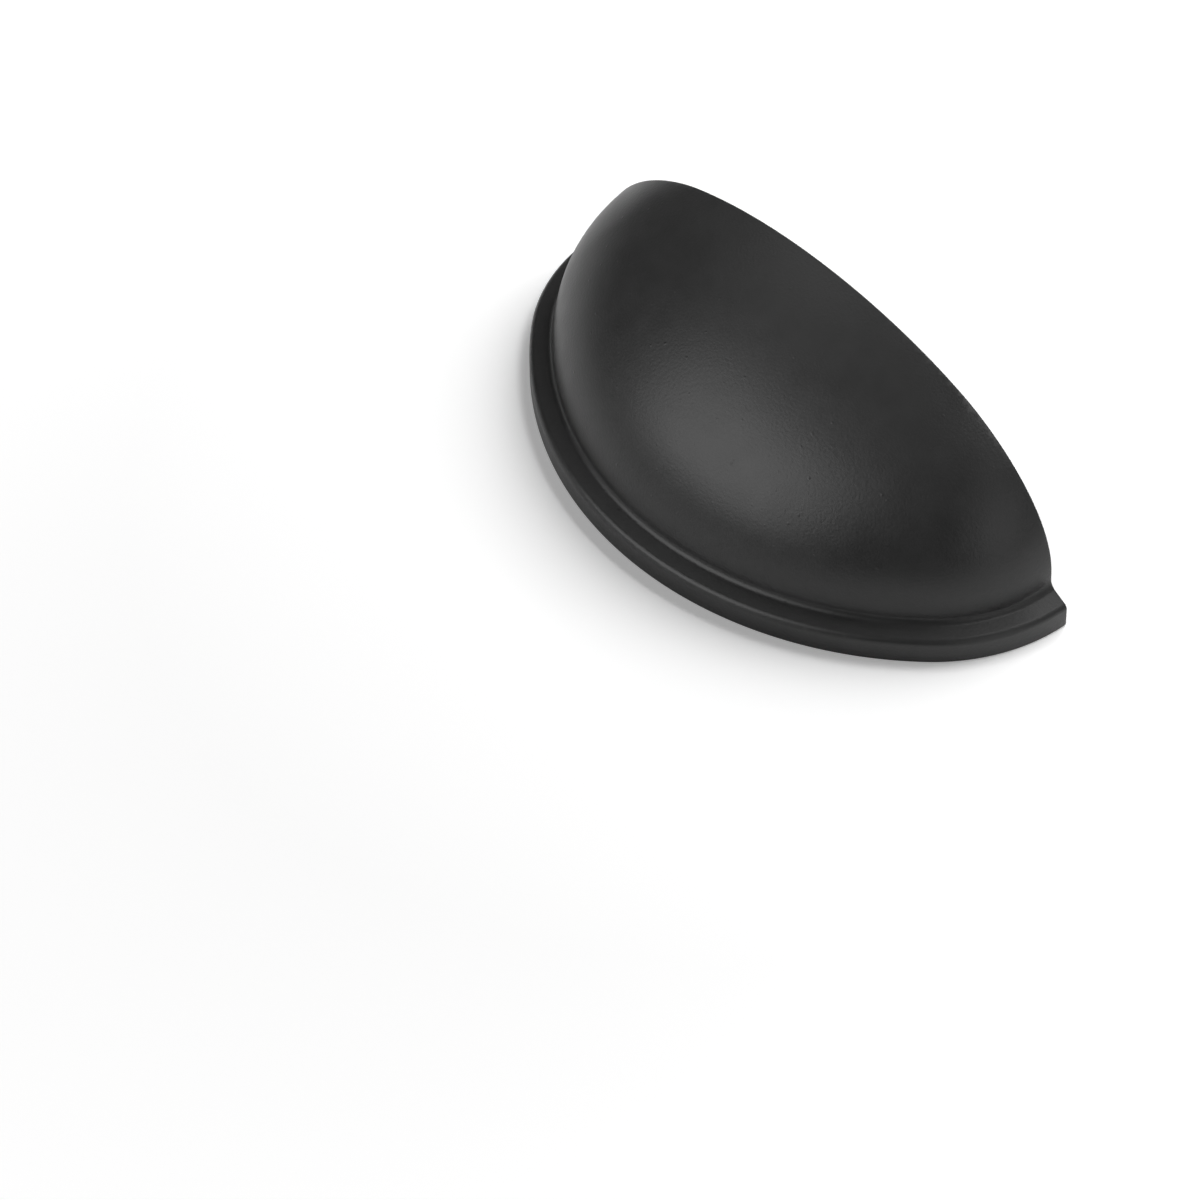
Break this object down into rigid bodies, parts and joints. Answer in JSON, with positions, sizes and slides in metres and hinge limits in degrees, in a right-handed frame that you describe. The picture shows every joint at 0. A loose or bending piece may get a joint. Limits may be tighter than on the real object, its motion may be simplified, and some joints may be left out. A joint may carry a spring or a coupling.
{
  "type": "cup pull",
  "caption": "Half-round hollow drawer pull with a stepped rim, a leaning domed cup for the fingers and tapped screw posts behind it.",
  "frame": {"origin": "on the mounting plane, at the middle of the length and of the height", "axes": "+X along the length, +Y towards the closed top as fitted on a drawer, +Z out of the drawer front"},
  "size_m": [0.0926, 0.0348, 0.0312],
  "materials": {
    "black_coat": "matte black powder coat on a zinc casting"
  },
  "bodies": {
    "root": {"cup_pull": "black_coat"}
  },
  "joints": []
}
